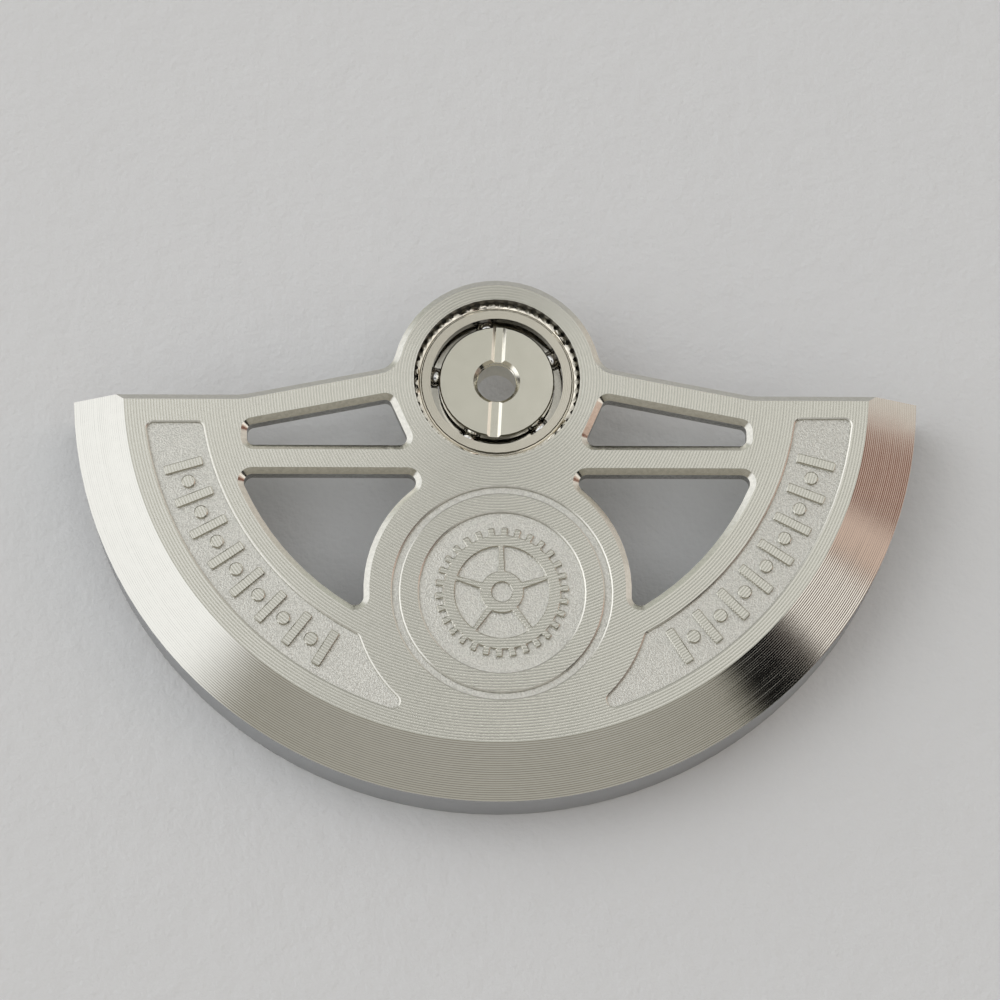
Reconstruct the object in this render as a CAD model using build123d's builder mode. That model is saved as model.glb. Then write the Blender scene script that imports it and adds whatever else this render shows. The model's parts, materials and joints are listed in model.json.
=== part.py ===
from build123d import *
from math import cos, radians, sin, sqrt, tan
import os

# Automatic watch rotor: a machined half-ring weight, pressed on a small ball bearing.
# Millimetres. The origin is the centre of the bearing, on its axis in the plane of the ball centres.
# +Z points up, away from the movement. The weight hangs towards -Y.

# Rotor body: plate, rim and bevel
rim_radius = 13.0
rim_width = 3.2
rim_height = 3.0
rim_break = 0.1
bevel_width = 1.59
bevel_drop = 0.96
plate_rise = 0.95
plate_thickness = 0.55
edge_drop = 0.53
edge_chamfer_width = 0.18
edge_chamfer_depth = 0.14

# Rotor body: hub and arms
hub_wall = 0.66
press_length = 0.6
neck_radius = 0.6
arm_land = 1.31
arm_angle = 11.2
arm_width = 0.81
arm_blend = 2.0

# Rotor body: windows, measured where their chamfers meet the top face
hub_land = 0.54
hub_land_angle = 24.0
upper_window_height = 0.954
upper_corner_radius = 0.4
bar_width = 0.565
window_land = 0.53
lower_corner_radius = 0.45
boss_margin = 0.9
boss_overlap = 0.085

# Rotor body: sunk panels and medallion, cut in a second setting that sits a little off
engraving_depth = 0.1
engraving_turn = 0.46
engraving_shift = 0.07
panel_land = 0.51
panel_width = 1.79
panel_drop = 1.32
panel_end_gap = 1.1
panel_corner_radius = 0.25
medallion_shift = 0.13
medallion_land = 0.51
medallion_groove = 0.29
medallion_ring = 0.52

# Ball bearing: balls, races and cage
ball_count = 5
ball_radius = 0.28
ball_clearance = 0.01
first_ball_angle = 27.0
pitch_radius = 1.914
race_angle = 45.0
relief_gap = 0.03
lip_gap = 0.124
disc_gap = 0.139
cage_clearance = 0.028
cage_rise = 0.03
cage_web = 0.12
cage_corner_radius = 0.05
pocket_clearance = 0.02

# Ball bearing: outer ring with its toothing
collar_width = 0.292
collar_rise = 0.63
collar_break = 0.03
groove_floor_width = 0.03
groove_flare_width = 0.055
groove_depth = 0.04
groove_land = 0.035
tooth_count = 54
tooth_height = 0.1
tooth_tip_width = 0.1
tooth_root_width = 0.25
toothing_rise = 0.6
cage_cover = 0.08

# Ball bearing: inner race in two parts
disc_rise = 0.606
disc_hole_gap = 0.02
hole_flare_width = 0.1
hole_flare_depth = 0.1
slot_width = 0.42
slot_floor_width = 0.22
slot_depth = 0.08
slot_turn = 3.3
slot_web = 0.096
seat_gap = 0.1
seat_margin = 0.325
seat_step = 0.08
screw_bore_radius = 0.6
tube_wall = 0.45
tube_end_gap = 0.03
thread_clearance = 0.01
hole_break = 0.04

# How far a cutter runs past the faces that it cuts
overrun = 0.5

# Bearing, worked out from the pitch circle of the balls
race_relief = ball_radius + relief_gap
lip_radius = pitch_radius + lip_gap
disc_radius = pitch_radius - disc_gap
collar_radius = lip_radius + collar_width
groove_floor_radius = collar_radius + groove_floor_width
groove_radius = groove_floor_radius + groove_flare_width
tooth_root_radius = groove_radius + groove_land
pocket_radius = ball_radius + pocket_clearance
cage_depth = pocket_radius + cage_web
outer_ring_depth = cage_depth + cage_cover
seat_depth = outer_ring_depth + seat_gap
seat_radius = disc_radius - seat_margin
disc_hole_radius = screw_bore_radius + disc_hole_gap
tube_radius = screw_bore_radius + tube_wall
tube_rise = disc_rise - slot_depth - slot_web - tube_end_gap

# Hub, worked out from the toothing that it is pressed on
hub_bore_radius = tooth_root_radius + tooth_height
hub_radius = hub_bore_radius + hub_wall
hub_depth = plate_rise - toothing_rise + press_length
hub_land_radius = hub_bore_radius + hub_land

# Plate, worked out from the rim inwards
bevel_inner_radius = rim_radius - bevel_width
panel_outer_radius = bevel_inner_radius - panel_land
panel_inner_radius = panel_outer_radius - panel_width
lower_window_radius = panel_inner_radius - window_land
arm_reach = panel_inner_radius - arm_land
arm_slope = tan(radians(arm_angle))
arm_peak = arm_reach * arm_slope - edge_drop
window_peak = arm_peak - arm_width / cos(radians(arm_angle))
bar_drop = arm_reach * arm_slope - window_peak + upper_window_height
bar_bottom = bar_drop + bar_width
boss_radius = (bevel_inner_radius - boss_margin - bar_bottom + boss_overlap) / 2
boss_drop = bar_bottom - boss_overlap + boss_radius
medallion_drop = boss_drop + medallion_shift
medallion_radius = boss_radius - medallion_land
medallion_disc_radius = medallion_radius - medallion_groove - medallion_ring
top_plane = Plane.XY.offset(plate_rise)


def race_reach(gap):
    """Height above the ball plane at which a race flank stands when it is gap away from the pitch circle."""
    contact = ball_radius + ball_clearance
    inset = gap - contact * cos(radians(race_angle))
    return contact * sin(radians(race_angle)) - inset / tan(radians(race_angle))


def crossing(point_a, angle_a, point_b, angle_b):
    """Point where two lines cross, each given by a point and its angle from +X in degrees."""
    return Axis(point_a, (cos(radians(angle_a)), sin(radians(angle_a)), 0)).intersect(
        Axis(point_b, (cos(radians(angle_b)), sin(radians(angle_b)), 0))
    )


def cut_away_above(drop):
    """Takes away all of the sketch that lies above a level line, drop below the axis."""
    with Locations((0, -drop)):
        Rectangle(2 * rim_radius, 2 * rim_radius, align=(Align.CENTER, Align.MIN), mode=Mode.SUBTRACT)


def cut_away_right():
    """Takes away the right half of the sketch, which is a mirror image of the left one."""
    Rectangle(rim_radius, 2 * rim_radius, align=(Align.MIN, Align.CENTER), mode=Mode.SUBTRACT)


def upper_window():
    """Narrow window on the left, between arm, hub and crossbar."""
    side_angle = radians(hub_land_angle)
    side_foot = (-hub_land_radius * cos(side_angle), -hub_land_radius * sin(side_angle))
    top_line = ((0, window_peak), arm_angle)
    side_line = (side_foot, hub_land_angle - 90)
    bottom_line = ((0, -bar_drop), 0)
    end_line = ((-arm_reach, 0), 90)
    with BuildSketch() as window:
        with BuildLine():
            Polyline(
                crossing(*top_line, *side_line),
                crossing(*side_line, *bottom_line),
                crossing(*bottom_line, *end_line),
                crossing(*end_line, *top_line),
                close=True,
            )
        make_face()
        fillet(window.vertices(), upper_corner_radius)
        offset(amount=-edge_chamfer_width, mode=Mode.REPLACE)
    return window.sketch


def lower_window():
    """Large window on the left, between crossbar, rim and the boss that carries the medallion."""
    with BuildSketch() as window:
        Circle(lower_window_radius)
        with Locations((0, -boss_drop)):
            Circle(boss_radius, mode=Mode.SUBTRACT)
        cut_away_above(bar_bottom)
        cut_away_right()
        fillet(window.vertices(), lower_corner_radius)
        offset(amount=-edge_chamfer_width, mode=Mode.REPLACE)
    return window.sketch


def panel():
    """Sunk panel on the left: a stretch of ring that ends round the medallion."""
    with BuildSketch() as ground:
        Circle(panel_outer_radius)
        Circle(panel_inner_radius, mode=Mode.SUBTRACT)
        with Locations((0, -medallion_drop)):
            Circle(medallion_radius + panel_end_gap, mode=Mode.SUBTRACT)
        cut_away_above(panel_drop)
        cut_away_right()
        fillet(ground.vertices(), panel_corner_radius)
    return ground.sketch


# Rotor body, in one piece
with BuildPart() as rotor_body:
    # Plate with the arms and the hub's outline
    with BuildSketch(top_plane) as outline:
        Circle(rim_radius)
        with BuildLine():
            Polyline(
                (-rim_radius, -edge_drop),
                (-arm_reach, -edge_drop),
                (0, arm_peak),
                (arm_reach, -edge_drop),
                (rim_radius, -edge_drop),
                (rim_radius, -rim_radius),
                (-rim_radius, -rim_radius),
                close=True,
            )
        make_face(mode=Mode.INTERSECT)
        Circle(hub_radius)
        fillet(outline.vertices().group_by(Axis.Y)[-1], neck_radius)
        fillet(outline.vertices().sort_by(lambda corner: abs(abs(corner.X) - arm_reach))[:2], arm_blend)
    extrude(amount=-plate_thickness)

    # Heavy rim below the plate
    with BuildSketch(top_plane):
        Circle(rim_radius)
        Circle(rim_radius - rim_width, mode=Mode.SUBTRACT)
        cut_away_above(edge_drop)
    extrude(amount=-rim_height)

    # Hub
    with BuildSketch(top_plane):
        Circle(hub_radius)
    extrude(amount=-hub_depth)

    # Windows, then the chamfer round every edge of the top face
    with BuildSketch(top_plane):
        for window in (upper_window(), lower_window()):
            add(window)
            add(window.mirror(Plane.YZ))
    extrude(amount=-plate_thickness, mode=Mode.SUBTRACT)
    top_face = rotor_body.faces().sort_by(Axis.Z)[-1]
    chamfer(top_face.edges(), length=edge_chamfer_width, length2=edge_chamfer_depth, reference=top_face)

    # Hub bore
    with BuildSketch(top_plane):
        Circle(hub_bore_radius)
    extrude(amount=-hub_depth, mode=Mode.SUBTRACT)

    # Conical bevel round the rim, and the broken edges of its underside
    with BuildSketch(Plane.XZ):
        with BuildLine():
            Polyline(
                (bevel_inner_radius, plate_rise),
                (rim_radius, plate_rise - bevel_drop),
                (rim_radius + overrun, plate_rise - bevel_drop),
                (rim_radius + overrun, plate_rise + overrun),
                (bevel_inner_radius, plate_rise + overrun),
                close=True,
            )
        make_face()
    revolve(axis=Axis.Z, mode=Mode.SUBTRACT)
    chamfer(rotor_body.edges().group_by(Axis.Z)[0].filter_by(GeomType.CIRCLE), rim_break)

    # Panels, medallion disc and the groove round it
    engraving_direction = Vector(cos(radians(engraving_turn)), sin(radians(engraving_turn)), 0)
    with BuildSketch(Plane(origin=(engraving_shift, 0, plate_rise), x_dir=engraving_direction)):
        add(panel())
        add(panel().mirror(Plane.YZ))
        with Locations((0, -medallion_drop)):
            Circle(medallion_radius)
            Circle(medallion_radius - medallion_groove, mode=Mode.SUBTRACT)
            Circle(medallion_disc_radius)
    extrude(amount=-engraving_depth, mode=Mode.SUBTRACT)

# Outer ring: collar, groove, toothing and V race
with BuildPart() as bearing_outer_ring:
    tip_reach = sqrt(hub_bore_radius**2 - (tooth_tip_width / 2) ** 2)
    with BuildSketch(Plane.XY.offset(-outer_ring_depth)):
        Circle(tooth_root_radius)
        with PolarLocations(0, tooth_count):
            Polygon(
                (lip_radius, -tooth_root_width / 2),
                (tooth_root_radius, -tooth_root_width / 2),
                (tip_reach, -tooth_tip_width / 2),
                (tip_reach, tooth_tip_width / 2),
                (tooth_root_radius, tooth_root_width / 2),
                (lip_radius, tooth_root_width / 2),
                align=None,
            )
    extrude(amount=outer_ring_depth + collar_rise)
    with BuildSketch(Plane.XZ):
        with BuildLine():
            Polyline(
                (collar_radius - collar_break, collar_rise + overrun),
                (collar_radius - collar_break, collar_rise),
                (collar_radius, collar_rise - collar_break),
                (collar_radius, toothing_rise - groove_depth),
                (groove_floor_radius, toothing_rise - groove_depth),
                (groove_radius, toothing_rise),
                (hub_bore_radius + overrun, toothing_rise),
                (hub_bore_radius + overrun, collar_rise + overrun),
                close=True,
            )
        make_face()
    revolve(axis=Axis.Z, mode=Mode.SUBTRACT)
    with BuildSketch(Plane.XZ):
        lip_reach = race_reach(lip_gap)
        relief_reach = race_reach(race_relief)
        with BuildLine():
            Polyline(
                (0, collar_rise + overrun),
                (lip_radius, collar_rise + overrun),
                (lip_radius, lip_reach),
                (pitch_radius + race_relief, relief_reach),
                (pitch_radius + race_relief, -relief_reach),
                (lip_radius, -lip_reach),
                (lip_radius, -outer_ring_depth - overrun),
                (0, -outer_ring_depth - overrun),
                close=True,
            )
        make_face()
    revolve(axis=Axis.Z, mode=Mode.SUBTRACT)

# Cage: a crown with one open pocket for each ball
with BuildPart() as bearing_cage:
    with BuildSketch(Plane.XY.offset(-cage_depth)):
        Circle(lip_radius - cage_clearance)
        Circle(disc_radius + cage_clearance, mode=Mode.SUBTRACT)
    extrude(amount=cage_depth + cage_rise)
    for turn in range(ball_count):
        angle = radians(first_ball_angle + turn * 360 / ball_count)
        outward = Vector(cos(angle), sin(angle), 0)
        with BuildSketch(Plane(origin=(0, 0, 0), x_dir=Vector(0, 0, 1).cross(outward), z_dir=outward)):
            Circle(pocket_radius)
            Rectangle(2 * pocket_radius, cage_rise + overrun, align=(Align.CENTER, Align.MIN))
        extrude(amount=lip_radius + overrun, mode=Mode.SUBTRACT)
    land_ends = bearing_cage.edges().filter_by(GeomType.LINE).group_by(Axis.Z)[-1]
    fillet(land_ends, cage_corner_radius)

# Balls
balls = []
for turn in range(ball_count):
    angle = radians(first_ball_angle + turn * 360 / ball_count)
    with BuildPart() as ball:
        with Locations((pitch_radius * cos(angle), pitch_radius * sin(angle), 0)):
            Sphere(ball_radius)
    balls.append(ball)

# Upper part of the inner race: the slotted disc, with the upper cone under it
with BuildPart() as inner_race_upper:
    with BuildSketch(Plane.XZ):
        disc_reach = race_reach(disc_gap)
        cone_reach = race_reach(race_relief)
        with BuildLine():
            Polyline(
                (disc_hole_radius, tube_rise + tube_end_gap),
                (disc_hole_radius, disc_rise - hole_flare_depth),
                (disc_hole_radius + hole_flare_width, disc_rise),
                (disc_radius - hole_break, disc_rise),
                (disc_radius, disc_rise - hole_break),
                (disc_radius, disc_reach),
                (pitch_radius - race_relief, cone_reach),
                (pitch_radius - race_relief, 0),
                (tube_radius + thread_clearance, 0),
                (tube_radius + thread_clearance, tube_rise + tube_end_gap),
                close=True,
            )
        make_face()
    revolve(axis=Axis.Z)
    slot_direction = Vector(-sin(radians(slot_turn)), -cos(radians(slot_turn)), 0)
    slot_across = slot_direction.cross(Vector(0, 0, -1))
    with BuildSketch(Plane(origin=(0, 0, disc_rise), x_dir=slot_across, z_dir=slot_direction)):
        with BuildLine():
            Polyline(
                (-slot_width / 2, 0),
                (-slot_floor_width / 2, -slot_depth),
                (slot_floor_width / 2, -slot_depth),
                (slot_width / 2, 0),
                close=True,
            )
        make_face()
    extrude(amount=disc_radius + overrun, both=True, mode=Mode.SUBTRACT)

# Lower part of the inner race: the lower cone, the tube that the upper part screws on, and the seat
with BuildPart() as inner_race_lower:
    with BuildSketch(Plane.XZ):
        with BuildLine():
            Polyline(
                (screw_bore_radius, -seat_depth),
                (screw_bore_radius, tube_rise - hole_break),
                (screw_bore_radius + hole_break, tube_rise),
                (tube_radius, tube_rise),
                (tube_radius, 0),
                (pitch_radius - race_relief, 0),
                (pitch_radius - race_relief, -cone_reach),
                (disc_radius, -disc_reach),
                (disc_radius, -seat_depth + seat_step),
                (seat_radius, -seat_depth + seat_step),
                (seat_radius, -seat_depth),
                close=True,
            )
        make_face()
    revolve(axis=Axis.Z)

pieces = {
    "rotor_body": rotor_body,
    "bearing_outer_ring": bearing_outer_ring,
    "bearing_cage": bearing_cage,
    "inner_race_upper": inner_race_upper,
    "inner_race_lower": inner_race_lower,
}
for number, ball in enumerate(balls, start=1):
    pieces[f"ball_{number}"] = ball

os.makedirs("parts", exist_ok=True)
for name, piece in pieces.items():
    piece.part.label = name
    export_step(piece.part, f"parts/{name}.step")
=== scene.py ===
"""Automatic watch rotor: the finish of every surface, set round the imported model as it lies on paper."""

from __future__ import annotations

import json
import logging
import math
from collections.abc import Callable
from dataclasses import dataclass, field
from enum import Enum

import bpy
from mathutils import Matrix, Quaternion, Vector

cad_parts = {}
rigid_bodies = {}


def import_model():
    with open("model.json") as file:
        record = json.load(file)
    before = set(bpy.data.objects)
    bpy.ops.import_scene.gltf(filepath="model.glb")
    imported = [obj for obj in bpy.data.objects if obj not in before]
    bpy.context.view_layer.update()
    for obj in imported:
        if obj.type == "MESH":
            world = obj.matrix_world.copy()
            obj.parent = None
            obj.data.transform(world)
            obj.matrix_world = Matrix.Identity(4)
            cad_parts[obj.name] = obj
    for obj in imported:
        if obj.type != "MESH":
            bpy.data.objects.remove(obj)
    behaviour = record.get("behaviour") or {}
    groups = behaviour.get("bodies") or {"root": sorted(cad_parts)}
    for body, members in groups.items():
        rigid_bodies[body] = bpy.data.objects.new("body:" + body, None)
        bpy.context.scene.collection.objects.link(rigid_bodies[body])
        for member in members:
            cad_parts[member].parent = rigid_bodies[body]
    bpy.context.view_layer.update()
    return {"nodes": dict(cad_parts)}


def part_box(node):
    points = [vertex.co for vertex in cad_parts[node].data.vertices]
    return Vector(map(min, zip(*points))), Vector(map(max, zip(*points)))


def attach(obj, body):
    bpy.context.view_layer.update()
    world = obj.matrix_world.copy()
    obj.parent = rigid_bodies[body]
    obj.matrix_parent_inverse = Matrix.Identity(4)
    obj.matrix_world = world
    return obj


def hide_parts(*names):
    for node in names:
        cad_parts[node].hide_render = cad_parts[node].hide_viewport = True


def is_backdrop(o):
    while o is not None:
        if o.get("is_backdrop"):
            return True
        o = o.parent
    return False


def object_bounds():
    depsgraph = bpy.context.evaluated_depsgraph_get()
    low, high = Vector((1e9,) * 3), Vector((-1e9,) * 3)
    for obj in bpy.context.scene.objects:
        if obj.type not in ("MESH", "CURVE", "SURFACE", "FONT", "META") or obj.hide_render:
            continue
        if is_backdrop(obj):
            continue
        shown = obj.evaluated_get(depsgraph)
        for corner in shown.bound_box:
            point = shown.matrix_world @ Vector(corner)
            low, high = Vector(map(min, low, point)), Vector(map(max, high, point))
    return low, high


MM = 0.001
WELD_REACH = 1e-6  # metres between points that are joined
POINTS_UP = 0.9  # least Z of a unit vector that points up
LIES_FLAT = 0.1  # most Z of a unit vector that lies flat
LOG = logging.getLogger("rotor")

Triple = tuple[float, float, float]
Colour = Triple
Inputs = dict[str, object] | tuple[object, ...]


@dataclass(frozen=True)
class Value:
    """An output socket of a node tree that arithmetic can be written with.

    Args:
        tree: the node tree that the socket belongs to.
        socket: the output socket.
    """

    tree: "Tree"
    socket: bpy.types.NodeSocket

    def maths(self, operation: str, *others: "Value | float") -> "Value":
        """Adds a Math node that works on this value.

        Args:
            operation: the Math node's operation, such as ADD.
            others: the values or numbers that follow this one.

        Returns:
            The node's result.
        """
        return self.tree.node("ShaderNodeMath", {"operation": operation}, (self, *others))

    def __add__(self, other: "Value | float") -> "Value":
        """This value plus another."""
        return self.maths("ADD", other)

    def __sub__(self, other: "Value | float") -> "Value":
        """This value less another."""
        return self.maths("SUBTRACT", other)

    def __rsub__(self, other: float) -> "Value":
        """A number less this value."""
        return self.tree.number(other).maths("SUBTRACT", self)

    def __mul__(self, other: "Value | float") -> "Value":
        """This value times another."""
        return self.maths("MULTIPLY", other)

    def __truediv__(self, other: "Value | float") -> "Value":
        """This value divided by another."""
        return self.maths("DIVIDE", other)

    def __pow__(self, other: "Value | float") -> "Value":
        """This value raised to a power."""
        return self.maths("POWER", other)

    def __abs__(self) -> "Value":
        """This value without its sign."""
        return self.maths("ABSOLUTE")

    def fraction(self) -> "Value":
        """What is left of this value above the next lower whole number."""
        return self - self.maths("FLOOR")

    def smooth(self, low: float, high: float) -> "Value":
        """A smooth step from 0 at low to 1 at high."""
        return self.tree.node(
            "ShaderNodeMapRange",
            {"interpolation_type": "SMOOTHSTEP"},
            {"Value": self, "From Min": low, "From Max": high},
        )


class Tree:
    """A node tree of a material or of the world, with one method that adds any node.

    Args:
        nodes: the tree that is filled, which is emptied first.
    """

    def __init__(self, nodes: bpy.types.NodeTree) -> None:
        """Empties the tree."""
        self.nodes = nodes
        nodes.nodes.clear()

    def add(
        self, kind: str, settings: dict[str, object] | None = None, inputs: Inputs = ()
    ) -> bpy.types.Node:
        """Adds a node.

        Args:
            kind: the node's type name.
            settings: the node's own properties, set before its sockets.
            inputs: values or links for its sockets, by name or in order.

        Returns:
            The new node.
        """
        made = self.nodes.nodes.new(kind)
        for name, setting in (settings or {}).items():
            setattr(made, name, setting)
        pairs = inputs.items() if isinstance(inputs, dict) else enumerate(inputs)
        for key, given in pairs:
            if isinstance(given, Value):
                self.nodes.links.new(given.socket, made.inputs[key])
            else:
                made.inputs[key].default_value = given
        return made

    def node(
        self,
        kind: str,
        settings: dict[str, object] | None = None,
        inputs: Inputs = (),
        output: str | int = 0,
    ) -> Value:
        """Adds a node as add does, and returns one of its outputs.

        Args:
            kind: the node's type name.
            settings: the node's own properties.
            inputs: values or links for its sockets.
            output: name or number of the output that is wanted.

        Returns:
            That output.
        """
        made = self.add(kind, settings, inputs)
        return Value(self, made.outputs[output])

    def number(self, amount: float) -> Value:
        """A constant, for the left side of a difference."""
        return self.node("ShaderNodeMath", {"operation": "ADD"}, (amount, 0.0))

    def mix(self, share: Value | float, first: Value | Colour, second: Value | Colour) -> Value:
        """Mixes two colours.

        Args:
            share: how much of the second colour shows.
            first: the colour where share is 0.
            second: the colour where share is 1.

        Returns:
            The mixed colour.
        """
        made = self.nodes.nodes.new("ShaderNodeMix")
        made.data_type = "RGBA"
        sockets = {"Factor": share, "A": first, "B": second}
        for socket in made.inputs:
            if socket.name not in sockets or socket.type not in ("RGBA", "VALUE"):
                continue
            if socket.name != "Factor" and socket.type != "RGBA":
                continue
            given = sockets[socket.name]
            if isinstance(given, Value):
                self.nodes.links.new(given.socket, socket)
            elif socket.type == "RGBA":
                socket.default_value = (*given, 1.0)
            else:
                socket.default_value = given
        return Value(self, next(out for out in made.outputs if out.type == "RGBA"))


class Place:
    """Where a point of a surface lies, in millimetres from the bearing's centre.

    Args:
        tree: the material's node tree.
    """

    def __init__(self, tree: Tree) -> None:
        """Adds the nodes that read a surface point's coordinates."""
        self.tree = tree
        coordinates = tree.node("ShaderNodeTexCoord", output="Object")
        self.point = tree.node(
            "ShaderNodeVectorMath", {"operation": "SCALE"}, {"Vector": coordinates, "Scale": 1 / MM}
        )
        split = tree.add("ShaderNodeSeparateXYZ", None, (self.point,))
        self.x, self.y, self.z = (Value(tree, socket) for socket in split.outputs)

    def radius(self) -> Value:
        """Distance from the bearing's axis, in millimetres."""
        return (self.x * self.x + self.y * self.y) ** 0.5

    def noise(self, per_mm: float, detail: float = 2.0, stretch: Triple = (1.0, 1.0, 1.0)) -> Value:
        """Soft random variation.

        Args:
            per_mm: how many bumps fit in a millimetre.
            detail: how many finer layers are added.
            stretch: scale along each axis, to draw the bumps out.

        Returns:
            A value about 0.5.
        """
        drawn = self.tree.node(
            "ShaderNodeVectorMath", {"operation": "MULTIPLY"}, (self.point, stretch)
        )
        return self.tree.node(
            "ShaderNodeTexNoise", None, {"Vector": drawn, "Scale": per_mm, "Detail": detail}
        )

    def along(self, amount: Value, per_mm: float) -> Value:
        """Random variation along one value alone, such as a radius."""
        return self.tree.node(
            "ShaderNodeTexNoise", {"noise_dimensions": "1D"}, {"W": amount, "Scale": per_mm, "Detail": 2.0}
        )


def blank_material(name: str) -> tuple[bpy.types.Material, Tree]:
    """Makes a material with an empty node tree.

    Args:
        name: the material's name.

    Returns:
        The material and its tree.
    """
    made = bpy.data.materials.new(name)
    made.use_nodes = True
    return made, Tree(made.node_tree)


@dataclass(frozen=True)
class Finish:
    """A metal finish: its colour and gloss, and the fine relief of its surface.

    Args:
        name: the material's name.
        colour: the metal's reflected colour.
        roughness: how dull the surface is.
        grain: height of random grain, in millimetres.
        grain_per_mm: how fine that grain is.
        tint: how far the colour varies from place to place.
        drawn: scale of the grain along each axis, to draw it out into marks.
    """

    DULL_PER_MM = 2.1  # duller patches in a millimetre
    DULL_SWING = 0.06  # how far they change the roughness
    SHADED = (0.3, 0.7)  # noise at which the darker colour starts and is full

    name: str
    colour: Colour
    roughness: float
    grain: float
    grain_per_mm: float
    tint: float
    drawn: Triple = (1.0, 1.0, 1.0)

    def relief(self, place: Place) -> Value:
        """Height of the surface's fine relief, in millimetres."""
        return place.noise(self.grain_per_mm, 2.0, self.drawn) * self.grain

    def shade(self, place: Place) -> Value:
        """How the colour varies: 0 is the metal's own colour and 1 is darker by the tint."""
        return place.noise(self.grain_per_mm, 1.0, self.drawn).smooth(*self.SHADED)

    def material(self) -> bpy.types.Material:
        """Makes the finish's material.

        Returns:
            The new material.
        """
        made, tree = blank_material(self.name)
        place = Place(tree)
        darker = tuple(part * (1 - self.tint) for part in self.colour)
        relief = {"Height": self.relief(place), "Distance": MM, "Strength": 1.0}
        inputs: Inputs = {
            "Base Color": tree.mix(self.shade(place), self.colour, darker),
            "Metallic": 1.0,
            "Roughness": (place.noise(self.DULL_PER_MM) - 0.5) * self.DULL_SWING + self.roughness,
            "Normal": tree.node("ShaderNodeBump", None, relief),
        }
        shader = tree.node("ShaderNodeBsdfPrincipled", None, inputs)
        tree.add("ShaderNodeOutputMaterial", None, {"Surface": shader})
        return made


@dataclass(frozen=True)
class Turned(Finish):
    """A surface turned on a lathe: concentric tool marks about the bearing axis.

    Args:
        pitch: distance from one tool mark to the next, in millimetres.
        depth: depth of a tool mark, in millimetres.
        burr: how far round the crest between two marks the metal is darker, as a share of the pitch.
        wander: how far a mark strays from its even place, as a share of the pitch.
        fine: depth of the three fine marks within each tool mark, in millimetres.
        fade: how much shallower a tool mark is by the straight edge, as a share of its depth.
    """

    CHANGES_PER_PITCH = 0.9  # how fast the tool marks change from one to the next
    SHALLOWEST = 0.7  # depth of the weakest tool mark, as a share
    DEPTH_SWING = 0.6  # how much more the strongest has
    FADE_Y = (-9.0, -2.0)  # where the marks start to fade and where they are faded, in millimetres
    FINE_MARKS = 3.0  # fine marks within a tool mark
    TORN_PER_MM = 3.0  # torn patches in a millimetre
    TORN = (0.35, 0.6)  # noise at which they start and are full
    TORN_MARKS = (0.1, 0.6)  # strength of a mark at which its crest starts to tear and is torn

    pitch: float = 0.0885
    depth: float = 0.001
    burr: float = 0.15
    wander: float = 0.1
    fine: float = 0.0
    fade: float = 0.0

    def across(self, place: Place) -> tuple[Value, Value]:
        """Place across a tool mark, from -0.5 to 0.5, and how strong that mark is, from 0 to 1."""
        radius = place.radius()
        uneven = place.along(radius, self.CHANGES_PER_PITCH / self.pitch)
        turn = (radius + uneven * (self.pitch * self.wander)) / self.pitch
        return turn.fraction() - 0.5, uneven

    def relief(self, place: Place) -> Value:
        """Round-bottomed grooves with sharp crests, a little uneven from one to the next."""
        across, uneven = self.across(place)
        height = across * across * (4 * self.depth) * (uneven * self.DEPTH_SWING + self.SHALLOWEST)
        if self.fade:
            height = height * (1 - place.y.smooth(*self.FADE_Y) * self.fade)
        if self.fine:
            within = (across * self.FINE_MARKS + 0.5).fraction() - 0.5
            height = height + within * within * (4 * self.fine)
        if self.grain:
            height = height + place.noise(self.grain_per_mm) * self.grain
        return height

    def shade(self, place: Place) -> Value:
        """Darker along the crests, where the metal is torn, more on some than on others."""
        across, uneven = self.across(place)
        crest = abs(across).smooth(0.5 - self.burr, 0.5)
        broken = place.noise(self.TORN_PER_MM).smooth(*self.TORN)
        return crest * (broken * 0.5 + 0.5) * uneven.smooth(*self.TORN_MARKS)


class RotorFinish(Enum):
    """The finishes of the rotor's body, in the order of its material slots."""

    TURNED = Turned(
        "turned_plate", (0.637, 0.627, 0.568), 0.2, 0.0012, 16.0, 0.12, depth=0.0036, fine=0.0006, fade=0.35
    )
    BLASTED = Finish("blasted_ground", (0.76, 0.755, 0.71), 0.42, 0.026, 22.0, 0.2)
    BEVEL = Turned("turned_bevel", (0.67, 0.665, 0.625), 0.09, 0.0003, 30.0, 0.3, pitch=0.061, depth=0.003)
    CHAMFER = Finish("milled_chamfer", (0.66, 0.65, 0.6), 0.14, 0.0012, 9.0, 0.08)
    CUT = Finish("engraved_wall", (0.68, 0.67, 0.62), 0.2, 0.001, 14.0, 0.1)
    # Window walls: the colour is painted darker than the milled sides' metal, as painted shade for the
    # shadow under the plate that they mirror.
    WALL = Finish("milled_wall_painted_shade", (0.42, 0.41, 0.38), 0.25, 0.022, 11.0, 0.3)
    SIDE = Finish("milled_side", (0.58, 0.575, 0.54), 0.22, 0.006, 5.0, 0.12, (0.25, 0.25, 3.0))
    # Rim's outer wall: painted darker and bluish, a painted reflection of the shaded paper round the part.
    RIM = Finish("rim_wall_painted_shade", (0.42, 0.425, 0.43), 0.34, 0.0004, 20.0, 0.05)
    # Hub bore wall: painted near black, as painted shade inside the narrow bore.
    BORE = Turned("turned_bore_painted_shade", (0.08, 0.075, 0.055), 0.3, 0.002, 14.0, 0.1)
    BACK = Turned("turned_back", (0.6, 0.59, 0.54), 0.3, 0.001, 14.0, 0.15, depth=0.002)


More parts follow.
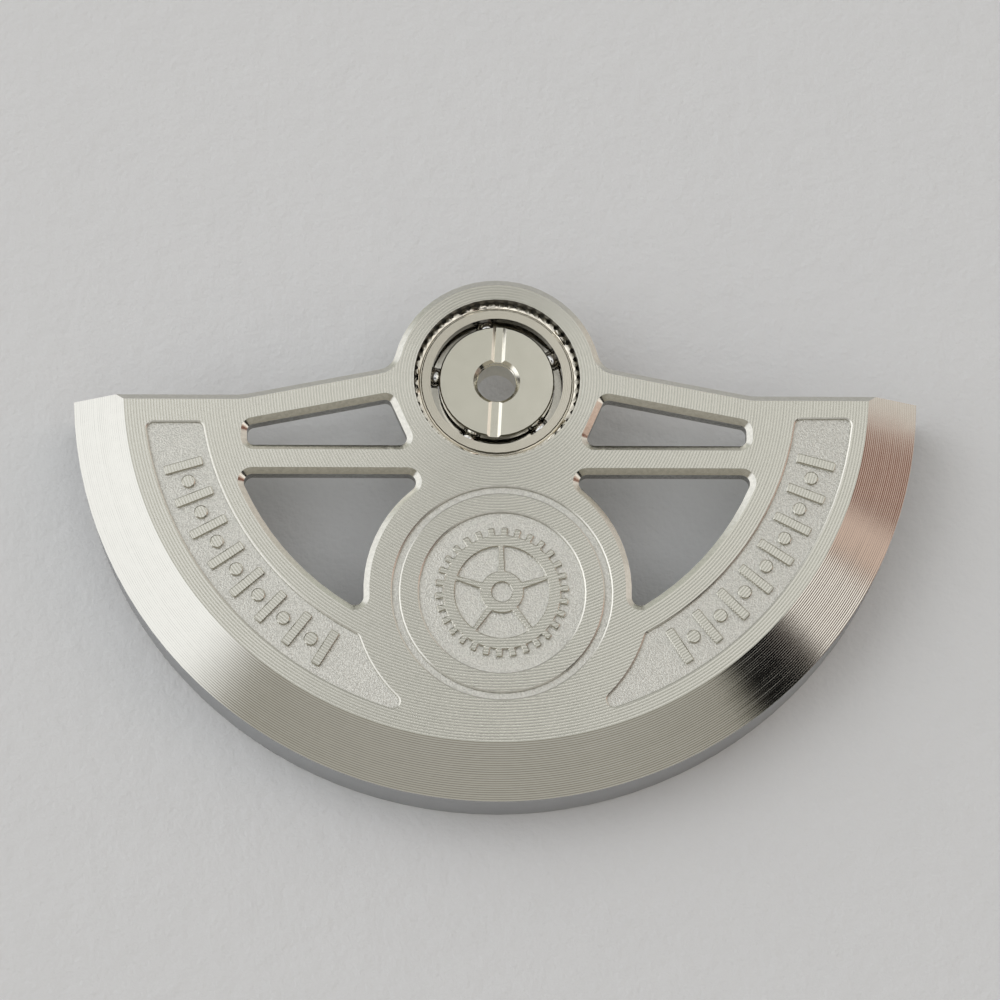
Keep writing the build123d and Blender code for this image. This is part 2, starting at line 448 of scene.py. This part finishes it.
class BearingFinish(Enum):
    """The finishes of the bearing's pieces."""

    RING = Turned("turned_ring", (0.82, 0.775, 0.68), 0.16, 0.0, 20.0, 0.06, pitch=0.05, depth=0.0002)
    TOOTH = Finish("cut_teeth", (0.72, 0.69, 0.61), 0.3, 0.002, 12.0, 0.12)
    # Inner wall of the ring's lip: painted near black, as painted shade in the narrow gap round the disc.
    SHADE = Finish("race_wall_painted_shade", (0.08, 0.07, 0.05), 0.25, 0.001, 12.0, 0.1)
    CAGE = Finish("cage_steel", (0.66, 0.64, 0.58), 0.16, 0.0004, 20.0, 0.08)
    RACE = Finish("ground_disc", (0.915, 0.888, 0.79), 0.14, 0.0002, 20.0, 0.03)
    BALL = Finish("ball_steel", (0.75, 0.75, 0.75), 0.06, 0.0001, 20.0, 0.03)


def select_only(piece: bpy.types.Object) -> None:
    """Selects one object and makes it active."""
    bpy.ops.object.select_all(action="DESELECT")
    piece.select_set(True)
    bpy.context.view_layer.objects.active = piece


def choose(piece: bpy.types.Object, kind: str, test: Callable[[int, Vector, Vector], bool]) -> None:
    """Selects the parts of a mesh that pass a test, and no others, and leaves it in edit mode.

    Args:
        piece: the object, which is the active one.
        kind: VERT, EDGE or FACE.
        test: says of a part's number, its middle and its normal or direction whether it is wanted.
    """
    bpy.ops.object.mode_set(mode="EDIT")
    bpy.ops.mesh.select_mode(type=kind)
    bpy.ops.mesh.select_all(action="DESELECT")
    bpy.ops.object.mode_set(mode="OBJECT")
    mesh = piece.data
    points = [point.co for point in mesh.vertices]
    if kind == "VERT":
        for point in mesh.vertices:
            point.select = test(point.index, point.co, point.normal)
    elif kind == "EDGE":
        for edge in mesh.edges:
            first, second = (points[index] for index in edge.vertices)
            edge.select = test(edge.index, (first + second) / 2, (second - first).normalized())
    else:
        for face in mesh.polygons:
            face.select = test(face.index, face.center, face.normal)
    bpy.ops.object.mode_set(mode="EDIT")


def finish_modifiers(piece: bpy.types.Object) -> None:
    """Applies all of an object's modifiers in order."""
    select_only(piece)
    for modifier in list(piece.modifiers):
        bpy.ops.object.modifier_apply(modifier=modifier.name)


def weld() -> None:
    """Joins the points of the active mesh that lie on one another."""
    bpy.ops.object.mode_set(mode="EDIT")
    bpy.ops.mesh.select_all(action="SELECT")
    bpy.ops.mesh.remove_doubles(threshold=WELD_REACH)
    bpy.ops.object.mode_set(mode="OBJECT")


def dress(
    piece: bpy.types.Object,
    finishes: list[bpy.types.Material],
    pick: Callable[[bpy.types.MeshPolygon], int] = lambda _: 0,
) -> None:
    """Gives each face of a piece its finish.

    Args:
        piece: the piece.
        finishes: the materials of its slots.
        pick: says which slot a face has.
    """
    piece.data.materials.clear()
    for finish in finishes:
        piece.data.materials.append(finish)
    for face in piece.data.polygons:
        face.material_index = pick(face)


def ease(piece: bpy.types.Object, width: float, least_deg: float = 60.0) -> None:
    """Breaks the sharp edges of a piece.

    Args:
        piece: the piece.
        width: width of the broken edge along each of its faces, in millimetres.
        least_deg: the least angle of an edge that is broken.
    """
    edges = piece.modifiers.new("edges", "BEVEL")
    edges.width = width * MM
    edges.segments = 1
    edges.limit_method = "ANGLE"
    edges.angle_limit = math.radians(least_deg)
    finish_modifiers(piece)


def carried_over(node: bpy.types.Object, name: str, smooth_deg: float) -> bpy.types.Object:
    """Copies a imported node, joins its loose triangles and smooths its round faces.

    Args:
        node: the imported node's object.
        name: the new piece's name.
        smooth_deg: the largest angle between faces that shade as one.

    Returns:
        The new piece.
    """
    piece = bpy.data.objects.new(name, node.data.copy())
    bpy.context.scene.collection.objects.link(piece)
    select_only(piece)
    bpy.ops.mesh.customdata_custom_splitnormals_clear()
    weld()
    bpy.ops.object.shade_smooth_by_angle(angle=math.radians(smooth_deg))
    return piece


@dataclass
class RotorBody:
    """The machined half-ring weight.

    Args:
        recess: depth of the sunk panels, in millimetres.
        draft: width of the steep part of the wall round a sunk panel, in millimetres.
        lip: width of the flatter part above it, in millimetres.
        lip_drop: height of that flatter part, in millimetres.
        bevel_tilt: angle of the conical bevel, in degrees.
        chamfer_tilt: angle of the chamfers round the plate's edges, in degrees.
        bore: radius inside which an upright wall belongs to the hub's bore, in millimetres.
        window_reach: radius beyond which there is no window, in millimetres.
        edge_drop: how far below the axis the plate's straight edge reaches, in millimetres.
        slack: how far a height may be off, in millimetres.
        tilt_slack: how far the slope of a bevel or chamfer may be off, in degrees.
        upright_slack: how far a wall may lean, in degrees.
        flat_tilt: tilt below which a face is flat, in degrees.
        wall_tilt: tilt below which a face by the top belongs to a sunk panel's wall, in degrees.
        rim_share: share of the rim's radius beyond which an upright face is its outer wall.
        facing: how much the plate's outer edge faces +Y at least.
        smooth_deg: the largest angle between faces that shade as one.
    """

    recess: float = 0.1
    draft: float = 0.02
    lip: float = 0.04
    lip_drop: float = 0.0195
    bevel_tilt: float = 31.1
    chamfer_tilt: float = 37.9
    bore: float = 2.6
    window_reach: float = 9.3
    edge_drop: float = 1.2
    slack: float = 0.02
    tilt_slack: float = 3.0
    upright_slack: float = 5.0
    flat_tilt: float = 2.0
    wall_tilt: float = 88.0
    rim_share: float = 0.99
    facing: float = 0.2
    smooth_deg: float = 24.0
    top: float = field(init=False)
    rim: float = field(init=False)

    def __post_init__(self) -> None:
        """Reads the body's height and radius from the frame."""
        low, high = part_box("rotor_body")
        self.top = high.z / MM
        self.rim = -low.y / MM

    def region(self, face: bpy.types.MeshPolygon) -> RotorFinish:
        """Which finish a face has, by its place and slope."""
        height = face.center.z / MM
        radius = face.center.xy.length / MM
        tilt = math.degrees(math.acos(max(-1.0, min(1.0, face.normal.z))))
        if tilt < self.flat_tilt:
            return RotorFinish.TURNED if height > self.top - self.slack else RotorFinish.BLASTED
        if abs(tilt - self.bevel_tilt) < self.tilt_slack:
            return RotorFinish.BEVEL
        if abs(tilt - self.chamfer_tilt) < self.tilt_slack:
            return RotorFinish.CHAMFER
        if tilt < self.wall_tilt and height > self.top - self.recess:
            return RotorFinish.CUT
        if abs(tilt - 90) >= self.upright_slack:
            return RotorFinish.BACK
        # The bore wall below takes a finish whose near-black colour is painted shade.
        if radius < self.bore:
            return RotorFinish.BORE
        if radius > self.rim * self.rim_share:
            return RotorFinish.RIM
        outer_edge = face.normal.y > self.facing and face.center.y > -self.edge_drop * MM
        # Window walls take the wall finish, whose colour is painted shade.
        return RotorFinish.SIDE if outer_edge or radius > self.window_reach else RotorFinish.WALL

    def lift(self, piece: bpy.types.Object, rows: set[int], rise: float) -> None:
        """Moves some of the points that lie at the sunk panels' ground.

        Args:
            piece: the body.
            rows: numbers of the points.
            rise: how far up they go, in millimetres.
        """
        ground = (self.top - self.recess) * MM
        choose(
            piece, "VERT", lambda index, point, _: index in rows and abs(point.z - ground) < self.slack * MM
        )
        bpy.ops.transform.translate(value=(0.0, 0.0, rise * MM))
        bpy.ops.object.mode_set(mode="OBJECT")

    def slope_recesses(self, piece: bpy.types.Object) -> None:
        """Slopes the walls of the sunk panels, with a flatter lip at the top.

        Args:
            piece: the body, selected and active.
        """
        ground, top, slack = (self.top - self.recess) * MM, self.top * MM, self.slack * MM
        choose(
            piece, "FACE", lambda _, middle, normal: normal.z > POINTS_UP and abs(middle.z - ground) < slack
        )
        for thickness in (self.lip, self.draft):
            bpy.ops.mesh.inset(thickness=thickness * MM, depth=0.0, use_boundary=True, use_even_offset=True)
        bpy.ops.object.mode_set(mode="OBJECT")
        mesh = piece.data
        inner = {index for face in mesh.polygons if face.select for index in face.vertices}
        crossing = [edge.vertices for edge in mesh.edges if len(inner.intersection(edge.vertices)) == 1]
        shoulder = {index for ends in crossing for index in ends} - inner
        walls = {
            index
            for face in mesh.polygons
            if abs(face.normal.z) < LIES_FLAT and ground < face.center.z < top
            for index in face.vertices
        }
        self.lift(piece, shoulder, self.recess - self.lip_drop)
        self.lift(piece, walls, self.recess)
        weld()

    def build(self, nodes: dict[str, bpy.types.Object]) -> bpy.types.Object:
        """Makes the body and gives each face its finish.

        Args:
            nodes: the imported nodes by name.

        Returns:
            The new piece.
        """
        piece = carried_over(nodes["rotor_body"], "rotor_plate", self.smooth_deg)
        self.slope_recesses(piece)
        bpy.ops.object.shade_smooth_by_angle(angle=math.radians(self.smooth_deg))
        order = list(RotorFinish)
        finishes = [finish.value.material() for finish in order]
        dress(piece, finishes, lambda face: order.index(self.region(face)))
        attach(piece, "rotor")
        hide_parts("rotor_body")
        return piece


@dataclass
class Ornament:
    """Raised ornament on the sunk grounds: a spoked wheel on the medallion and a scale on each panel.

    Args:
        top: height of the plate's top face, which the ornament ends level with.
        depth: how deep the grounds lie below it.
        sunk: how far the ornament's foot reaches into the ground.
        lip: width of its broken edges.
        turn_deg: how far the engraving is turned against the plate.
        shift: how far the engraving is moved along X.
        smooth_deg: the largest angle between faces that shade as one.
        medallion_drop: how far below the bearing's axis the wheel's centre lies.
        divisions: how many parts the wheel's circles are divided into.
        hole_radius: radius of the hole in the wheel's hub.
        hub_radius: radius of that hub.
        inner_radius: inner radius of the wheel's rim.
        root_radius: radius at the foot of its teeth.
        tip_radius: radius over its teeth.
        on_circle: how far off a circle's radius a point of it may be, as a share.
        tooth_step: divisions from one tooth to the next.
        tooth_width: divisions that a tooth is wide.
        tooth_round: length of the rounding at a tooth's corners.
        spoke_count: how many spokes the wheel has.
        spoke_foot: divisions of the hub on each side of a spoke's middle that it stands on.
        scale_radius: radius on which the bars and studs of a panel lie.
        bar_length: length of a bar, along the radius.
        bar_width: width of a bar.
        bar_round: length of the rounding at its corners.
        stud_radius: radius of a stud.
        stud_sides: how many sides a stud is drawn with.
        pitch_deg: angle from one bar to the next.
        bar_count: how many bars a panel has.
        first_bar_deg: direction of the left panel's first bar, from +X towards +Y.
        mirror_deg: what that direction and the right panel's add up to.

    Lengths are in millimetres.
    """

    top: float
    depth: float = 0.1
    sunk: float = 0.02
    lip: float = 0.03
    turn_deg: float = 0.46
    shift: float = 0.07
    smooth_deg: float = 20.0
    medallion_drop: float = 6.78
    divisions: int = 120
    hole_radius: float = 0.3
    hub_radius: float = 0.66
    inner_radius: float = 1.42
    root_radius: float = 1.78
    tip_radius: float = 2.02
    on_circle: float = 0.01
    tooth_step: int = 4
    tooth_width: int = 2
    tooth_round: float = 0.05
    spoke_count: int = 5
    spoke_foot: int = 3
    scale_radius: float = 10.0
    bar_length: float = 1.2
    bar_width: float = 0.3
    bar_round: float = 0.06
    stud_radius: float = 0.21
    stud_sides: int = 32
    pitch_deg: float = 6.0
    bar_count: int = 8
    first_bar_deg: float = 196.0
    mirror_deg: float = 540.0

    def grow(self, centre: Vector, factor: float) -> None:
        """Extrudes the selected edges in their plane and scales the new ones about a centre."""
        bpy.ops.mesh.extrude_edges_move()
        bpy.ops.transform.resize(value=(factor, factor, 1.0), center_override=centre)

    def seat(self, piece: bpy.types.Object, name: str, material: bpy.types.Material) -> bpy.types.Object:
        """Sets a piece in the engraving's frame, and dresses it.

        Args:
            piece: the piece, modelled square to the bearing.
            name: its name.
            material: its finish.

        Returns:
            The same piece.
        """
        select_only(piece)
        piece.name = name
        piece.rotation_euler.z += math.radians(self.turn_deg)
        piece.location.x += self.shift * MM
        bpy.ops.object.transform_apply(location=True, rotation=True, scale=True)
        bpy.ops.object.shade_smooth_by_angle(angle=math.radians(self.smooth_deg))
        dress(piece, [material])
        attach(piece, "rotor")
        return piece

    def wheel(self) -> bpy.types.Object:
        """Models the spoked wheel, flat at first and then given its height.

        Returns:
            The wheel, square to the bearing.
        """
        centre = Vector((0.0, -self.medallion_drop, self.top)) * MM
        step = 360 / self.divisions

        def lies_on(middle: Vector, radius: float) -> bool:
            """Whether a point or an edge lies on a circle about the wheel's centre."""
            return abs((middle - centre).length - radius * MM) < self.on_circle * radius * MM

        def turned(middle: Vector) -> float:
            """Angle of a point about the wheel's centre, from 0 to 360 degrees."""
            away = middle - centre
            return math.degrees(math.atan2(away.y, away.x)) % 360

        def meets(middle: Vector, spoke: float) -> bool:
            """Whether an edge is where a spoke meets the hub or the rim."""
            aside = abs((turned(middle) - spoke + 180) % 360 - 180)
            at_rim = lies_on(middle, self.inner_radius) and aside < step
            return at_rim or (lies_on(middle, self.hub_radius) and aside < self.spoke_foot * step)

        bpy.ops.object.select_all(action="DESELECT")
        bpy.ops.mesh.primitive_circle_add(
            vertices=self.divisions, radius=self.inner_radius * MM, fill_type="NOTHING", location=centre
        )
        piece = bpy.context.object
        bpy.ops.object.transform_apply(location=True)
        bpy.ops.object.mode_set(mode="EDIT")
        bpy.ops.mesh.select_all(action="SELECT")
        self.grow(centre, self.root_radius / self.inner_radius)
        choose(
            piece,
            "EDGE",
            lambda _, middle, __: lies_on(middle, self.root_radius)
            and turned(middle) // step % self.tooth_step < self.tooth_width,
        )
        self.grow(centre, self.tip_radius / self.root_radius)
        choose(
            piece,
            "VERT",
            lambda _, point, __: lies_on(point, self.tip_radius)
            and round(turned(point) / step) % self.tooth_width == 0,
        )
        bpy.ops.mesh.bevel(offset=self.tooth_round * MM, segments=2, affect="VERTICES")
        bpy.ops.mesh.select_mode(type="EDGE")
        bpy.ops.mesh.select_all(action="DESELECT")
        bpy.ops.mesh.primitive_circle_add(
            vertices=self.divisions, radius=self.hub_radius * MM, fill_type="NOTHING", location=centre
        )
        self.grow(centre, self.hole_radius / self.hub_radius)
        for number in range(self.spoke_count):
            spoke = (90 + number * 360 / self.spoke_count) % 360
            choose(piece, "EDGE", lambda _, middle, __, spoke=spoke: meets(middle, spoke))
            bpy.ops.mesh.bridge_edge_loops()
        choose(piece, "FACE", lambda _, __, normal: normal.z < 0)
        bpy.ops.mesh.flip_normals()
        bpy.ops.object.mode_set(mode="OBJECT")
        height = piece.modifiers.new("height", "SOLIDIFY")
        height.thickness = (self.depth + self.sunk) * MM
        height.offset = -1.0
        ease(piece, self.lip)
        return piece

    def bar(self) -> bpy.types.Object:
        """Models one bar of the scale, on +X."""
        height = self.depth + self.sunk
        bpy.ops.object.select_all(action="DESELECT")
        bpy.ops.mesh.primitive_cube_add(
            size=MM,
            location=(self.scale_radius * MM, 0.0, (self.top - height / 2) * MM),
            scale=(self.bar_length, self.bar_width, height),
        )
        piece = bpy.context.object
        bpy.ops.object.transform_apply(location=True, scale=True)
        choose(piece, "EDGE", lambda _, __, direction: abs(direction.z) > POINTS_UP)
        bpy.ops.mesh.bevel(offset=self.bar_round * MM, segments=3)
        bpy.ops.object.mode_set(mode="OBJECT")
        ease(piece, self.lip)
        return piece

    def stud(self) -> bpy.types.Object:
        """Models one round stud of the scale, on +X."""
        height = self.depth + self.sunk
        bpy.ops.object.select_all(action="DESELECT")
        bpy.ops.mesh.primitive_cylinder_add(
            vertices=self.stud_sides,
            radius=self.stud_radius * MM,
            depth=height * MM,
            location=(self.scale_radius * MM, 0.0, (self.top - height / 2) * MM),
        )
        piece = bpy.context.object
        bpy.ops.object.transform_apply(location=True)
        ease(piece, self.lip)
        return piece

    def scale(self, side: int) -> bpy.types.Object:
        """Models the scale of one panel: bars, with a stud between each two.

        Args:
            side: 1 for the left panel, and -1 for the right one.

        Returns:
            The scale, as one piece.
        """
        marks = []
        models = (self.bar(), self.bar_count, 0.0), (self.stud(), self.bar_count - 1, 0.5)
        for model, count, offset in models:
            for number in range(count):
                mark = bpy.data.objects.new("mark", model.data.copy())
                bpy.context.scene.collection.objects.link(mark)
                turn = self.first_bar_deg + (number + offset) * self.pitch_deg
                mark.rotation_euler.z = math.radians(turn if side > 0 else self.mirror_deg - turn)
                marks.append(mark)
            bpy.data.objects.remove(model)
        select_only(marks[0])
        for mark in marks:
            mark.select_set(True)
        bpy.ops.object.join()
        piece = bpy.context.object
        bpy.ops.object.transform_apply(location=True, rotation=True, scale=True)
        return piece

    def build(self, material: bpy.types.Material) -> list[bpy.types.Object]:
        """Makes the ornament's pieces.

        Args:
            material: the plate's turned finish, which runs on over the raised shapes.

        Returns:
            The new pieces.
        """
        return [
            self.seat(self.wheel(), "medallion_wheel", material),
            self.seat(self.scale(1), "panel_scale_left", material),
            self.seat(self.scale(-1), "panel_scale_right", material),
        ]


@dataclass
class Bearing:
    """The ball bearing's pieces.

    Args:
        smooth_deg: the largest angle between faces that shade as one.
        wall_radius: radius of the outer ring's inner wall, in millimetres.
        root_radius: radius at the foot of the teeth, in millimetres.
        tooth_top: height of the teeth's upper ends, in millimetres.
        tooth_lip: width of the teeth's broken edges, in millimetres.
        tooth_slack: how far a point of the teeth's upper ends may be off, in millimetres.
        wall_slack: how far the inner wall's radius may be off, in millimetres.
        ball_count: how many balls the bearing has.
    """

    smooth_deg: float = 30.0
    wall_radius: float = 2.038
    root_radius: float = 2.45
    tooth_top: float = 0.6
    tooth_lip: float = 0.014
    tooth_slack: float = 0.005
    wall_slack: float = 0.02
    ball_count: int = 5

    def break_teeth(self, ring: bpy.types.Object) -> None:
        """Breaks the edges of the teeth's upper ends."""
        choose(
            ring,
            "EDGE",
            lambda _, middle, __: middle.xy.length > (self.root_radius + self.tooth_slack) * MM
            and abs(middle.z - self.tooth_top * MM) < self.tooth_slack * MM,
        )
        bpy.ops.mesh.bevel(offset=self.tooth_lip * MM, segments=1)
        bpy.ops.object.mode_set(mode="OBJECT")

    def ring_part(self, face: bpy.types.MeshPolygon) -> int:
        """Which finish a face of the outer ring has: 0 turned, 1 teeth, 2 inner wall, painted dark as shade.
        """
        radius = face.center.xy.length / MM
        if radius > self.root_radius:
            return 1
        upright = abs(face.normal.z) < LIES_FLAT
        return 2 if upright and abs(radius - self.wall_radius) < self.wall_slack else 0

    def build(self, nodes: dict[str, bpy.types.Object]) -> list[bpy.types.Object]:
        """Makes the bearing's pieces.

        Args:
            nodes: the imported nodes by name.

        Returns:
            The new pieces.
        """
        plan = {
            "bearing_outer_ring": ("rotor", "ring_steel", BearingFinish.RING),
            "bearing_cage": ("cage", "cage_steel", BearingFinish.CAGE),
            "inner_race_upper": ("bearing_core", "race_steel", BearingFinish.RACE),
            "inner_race_lower": ("bearing_core", "race_steel", BearingFinish.RACE),
        }
        for number in range(1, self.ball_count + 1):
            plan[f"ball_{number}"] = (f"ball_{number}_body", "ball_steel", BearingFinish.BALL)
        made = []
        materials = {finish: finish.value.material() for finish in BearingFinish}
        for name, (body, slot, finish) in plan.items():
            piece = carried_over(nodes[name], f"dressed_{name}", self.smooth_deg)
            if finish is BearingFinish.RING:
                self.break_teeth(piece)
                finishes = [materials[each] for each in (finish, BearingFinish.TOOTH, BearingFinish.SHADE)]
                dress(piece, finishes, self.ring_part)
            else:
                dress(piece, [materials[finish]])
            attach(piece, body)
            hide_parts(name)
            made.append(piece)
        return made


@dataclass(frozen=True)
class Glow:
    """A soft patch of light or shade in the room round the part.

    Args:
        azimuth: direction of its middle, in degrees from +X towards +Y.
        half_width: from its middle to its side, in degrees.
        low: its lower edge above the horizon, in degrees.
        high: its upper edge above the horizon, in degrees.
        blur: how soft its edges are, in degrees.
        colour: what it shows, in place of what is behind it.
    """

    azimuth: float
    half_width: float
    low: float
    high: float
    blur: float
    colour: Colour

    def share(self, tree: Tree, across: Value, along: Value, up: Value) -> Value:
        """How much of the patch shows in a direction: 1 inside and 0 outside."""
        turn = math.radians(self.azimuth)
        ahead = across * math.cos(turn) + along * math.sin(turn)
        aside = along * math.cos(turn) - across * math.sin(turn)
        bearing = abs(aside.maths("ARCTAN2", ahead)) * math.degrees(1)
        height = up.maths("ARCSINE") * math.degrees(1)
        inside = 1 - bearing.smooth(self.half_width - self.blur / 2, self.half_width + self.blur / 2)
        above = height.smooth(self.low - self.blur / 2, self.low + self.blur / 2)
        below = 1 - height.smooth(self.high - self.blur / 2, self.high + self.blur / 2)
        return inside * above * below


@dataclass
class Studio:
    """Paper floor, soft light and the camera.

    Args:
        floor_colour: the paper's colour.
        floor_tint: how much darker the paper is in places.
        floor_tint_per_mm: how many such places there are in a millimetre.
        floor_roughness: how dull the paper is.
        floor_gloss: how much of the light it mirrors, against plastic's 0.5.
        floor_size: length of its sides, in millimetres.
        dents: bumps in a millimetre, and height in millimetres, of the paper's coarse relief.
        fibres: the same for its fine relief.
        relief: how much of that relief shows.
        camera_place: where the camera stands, in millimetres.
        camera_aim: the point that it looks at, in millimetres.
        camera_roll: how far it is turned about its own axis, in degrees.
        lens: its focal length, in millimetres.
        sensor: width of its sensor, in millimetres.
        sight: the nearest and the farthest distance that it sees, in metres.
        lamp_azimuth: direction of the lamp, in degrees from +X towards +Y.
        lamp_rise: its angle above the horizon, in degrees.
        lamp_away: its distance, in millimetres.
        lamp_size: its diameter, in millimetres.
        lamp_power: its power, in watts.
        ceiling: colour of the room where there is no patch.
        glows: the patches of light and shade, each in front of those before it.
    """

    floor_colour: Colour = (0.76, 0.77, 0.788)
    floor_tint: float = 0.03
    floor_tint_per_mm: float = 0.5
    floor_roughness: float = 0.8
    floor_gloss: float = 0.2
    floor_size: float = 1500.0
    dents: tuple[float, float] = (1.6, 0.08)
    fibres: tuple[float, float] = (6.0, 0.03)
    relief: float = 0.6
    camera_place: Triple = (-2.417, -33.447, 100.25)
    camera_aim: Triple = (0.0755, -3.903, 0.95)
    camera_roll: float = 4.786
    lens: float = 123.2
    sensor: float = 36.0
    sight: tuple[float, float] = (0.001, 10.0)
    lamp_azimuth: float = 158.0
    lamp_rise: float = 58.0
    lamp_away: float = 180.0
    lamp_size: float = 150.0
    lamp_power: float = 0.021
    ceiling: Colour = (0.74, 0.74, 0.74)
    glows: tuple[Glow, ...] = (
        Glow(150, 48, 40, 80, 24, (0.74, 0.74, 0.73)),
        Glow(28, 48, 40, 80, 24, (1.1, 1.09, 1.05)),
        Glow(218, 26, 56, 82, 8, (0.8, 0.8, 0.8)),
        Glow(320, 30, 56, 84, 8, (1.15, 1.15, 1.15)),
        Glow(90, 60, -20, 62, 30, (0.5, 0.5, 0.47)),
        Glow(118, 12, 58, 71, 5, (0.8, 0.8, 0.8)),
        Glow(57, 13, 58, 71, 5, (1.1, 1.1, 1.07)),
        Glow(90, 12, 44, 95, 8, (0.46, 0.46, 0.43)),
        Glow(270, 85, 83, 92, 5, (2.0, 2.0, 1.95)),
        Glow(90, 60, -20, 12, 8, (0.68, 0.69, 0.63)),
        Glow(270, 75, -20, 54, 20, (0.5, 0.48, 0.43)),
        Glow(270, 60, -20, 32, 8, (0.3, 0.28, 0.23)),
        Glow(20, 35, -20, 52, 18, (0.76, 0.71, 0.65)),
        Glow(5, 9, -20, 56, 8, (0.8, 0.62, 0.54)),
        Glow(5, 8, 12, 32, 6, (0.27, 0.13, 0.095)),
        Glow(19, 6, 2, 17, 3, (0.92, 0.86, 0.8)),
        Glow(172, 41, 1, 60, 16, (1.27, 1.27, 1.27)),
        Glow(347, 11, 3, 60, 8, (0.24, 0.19, 0.17)),
        Glow(343.5, 8.5, 18, 35, 4, (1.35, 1.28, 1.2)),
        Glow(354, 4, 8, 36, 4, (0.82, 0.62, 0.52)),
        Glow(328.4, 7.3, 6, 50, 5, (0.005, 0.005, 0.005)),
        Glow(270, 40, 62, 84, 6, (0.06, 0.06, 0.06)),
    )

    def floor(self) -> None:
        """Lays the paper under the rim."""
        low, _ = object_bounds()
        bpy.ops.object.select_all(action="DESELECT")
        bpy.ops.mesh.primitive_plane_add(size=self.floor_size * MM, location=(0, 0, low.z))
        paper = bpy.context.object
        paper.name = "paper"
        made, tree = blank_material("paper")
        place = Place(tree)
        darker = tuple(part * (1 - self.floor_tint) for part in self.floor_colour)
        (dents_per_mm, dent), (fibres_per_mm, fibre) = self.dents, self.fibres
        height = place.noise(dents_per_mm, 4.0) * dent + place.noise(fibres_per_mm) * fibre
        relief = {"Height": height, "Distance": MM, "Strength": self.relief}
        inputs: Inputs = {
            "Base Color": tree.mix(place.noise(self.floor_tint_per_mm, 3.0), self.floor_colour, darker),
            "Roughness": self.floor_roughness,
            "Specular IOR Level": self.floor_gloss,
            "Normal": tree.node("ShaderNodeBump", None, relief),
        }
        shader = tree.node("ShaderNodeBsdfPrincipled", None, inputs)
        tree.add("ShaderNodeOutputMaterial", None, {"Surface": shader})
        paper.data.materials.append(made)
        paper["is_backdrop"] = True

    def world(self) -> None:
        """Lights the part from all sides, with brighter and darker patches in the room."""
        world = bpy.data.worlds.new("room")
        world.use_nodes = True
        bpy.context.scene.world = world
        tree = Tree(world.node_tree)
        direction = tree.node("ShaderNodeTexCoord", output="Generated")
        split = tree.add("ShaderNodeSeparateXYZ", None, (direction,))
        across, along, up = (Value(tree, socket) for socket in split.outputs)
        colour: Value | Colour = self.ceiling
        for glow in self.glows:
            colour = tree.mix(glow.share(tree, across, along, up), colour, glow.colour)
        background = tree.node("ShaderNodeBackground", None, {"Color": colour, "Strength": 1.0})
        tree.add("ShaderNodeOutputWorld", None, {"Surface": background})

    def lamp(self) -> None:
        """Adds the large soft lamp on the upper left."""
        turn, rise = math.radians(self.lamp_azimuth), math.radians(self.lamp_rise)
        place = Vector((math.cos(turn) * math.cos(rise), math.sin(turn) * math.cos(rise), math.sin(rise)))
        data = bpy.data.lights.new("soft_lamp", "AREA")
        data.shape = "DISK"
        data.size = self.lamp_size * MM
        data.energy = self.lamp_power
        lamp = bpy.data.objects.new("soft_lamp", data)
        lamp.location = place * self.lamp_away * MM
        lamp.rotation_euler = (-place).to_track_quat("-Z", "Y").to_euler()
        bpy.context.scene.collection.objects.link(lamp)

    def camera(self) -> None:
        """Sets the camera at the photograph's viewing angle."""
        data = bpy.data.cameras.new("camera")
        data.lens = self.lens
        data.sensor_width = self.sensor
        data.clip_start, data.clip_end = self.sight
        camera = bpy.data.objects.new("camera", data)
        place, aim = Vector(self.camera_place), Vector(self.camera_aim)
        turn = (aim - place).to_track_quat("-Z", "Y") @ Quaternion((0, 0, 1), math.radians(self.camera_roll))
        camera.location = place * MM
        camera.rotation_euler = turn.to_euler()
        bpy.context.scene.collection.objects.link(camera)
        bpy.context.scene.camera = camera

    def build(self) -> None:
        """Sets floor, light and camera."""
        self.floor()
        self.world()
        self.lamp()
        self.camera()
        bpy.context.scene.view_settings.view_transform = "Standard"


def main() -> None:
    """Loads the frame, dresses each sub-assembly and sets the studio round it."""
    logging.basicConfig(level=logging.INFO, format="%(name)s: %(message)s")
    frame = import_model()
    nodes = frame["nodes"]
    body = RotorBody()
    plate = body.build(nodes)
    LOG.info("body: %s", plate.name)
    turned = plate.data.materials[list(RotorFinish).index(RotorFinish.TURNED)]
    for piece in Ornament(body.top).build(turned):
        LOG.info("ornament: %s", piece.name)
    for piece in Bearing().build(nodes):
        LOG.info("bearing: %s", piece.name)
    Studio().build()


if __name__ == "__main__":
    main()
